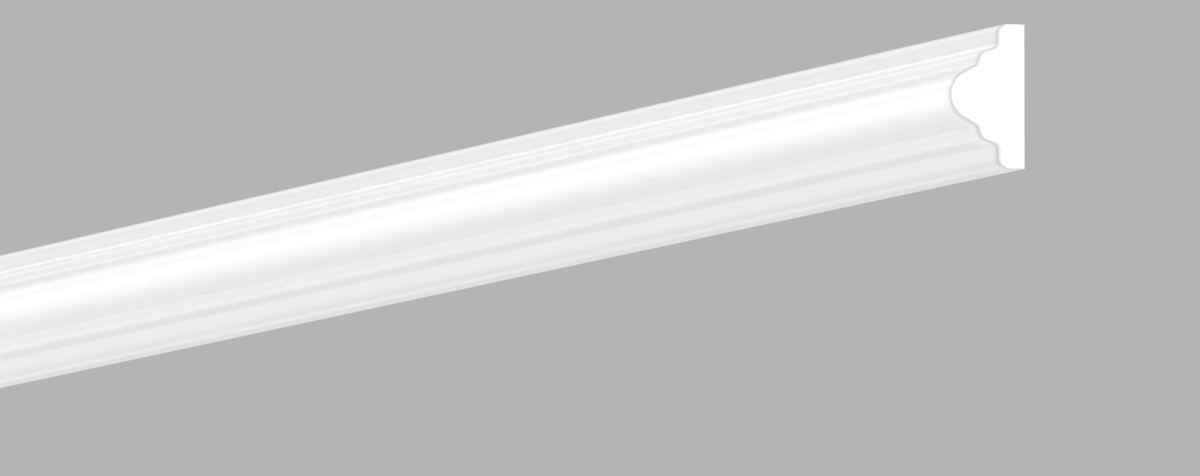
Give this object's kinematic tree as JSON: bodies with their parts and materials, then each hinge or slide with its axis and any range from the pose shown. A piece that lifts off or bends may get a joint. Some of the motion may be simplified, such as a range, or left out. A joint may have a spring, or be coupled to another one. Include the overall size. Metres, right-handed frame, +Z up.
{
  "type": "wall moulding",
  "caption": "Straight length of white wall moulding with a half-round nose between stepped flat bands, cut square at its ends.",
  "frame": {"origin": "middle of the flat back, halfway along the length and halfway up the face", "axes": "+X along the length to the right end, +Y out of the back into the wall, +Z up the wall; the face looks towards -Y"},
  "size_m": [1, 0.0222, 0.04],
  "materials": {
    "white_coat": "smooth satin white primer on moulded rigid foam, bare foam at the sawn ends and the back"
  },
  "bodies": {
    "root": {"moulding": "white_coat"}
  },
  "joints": []
}
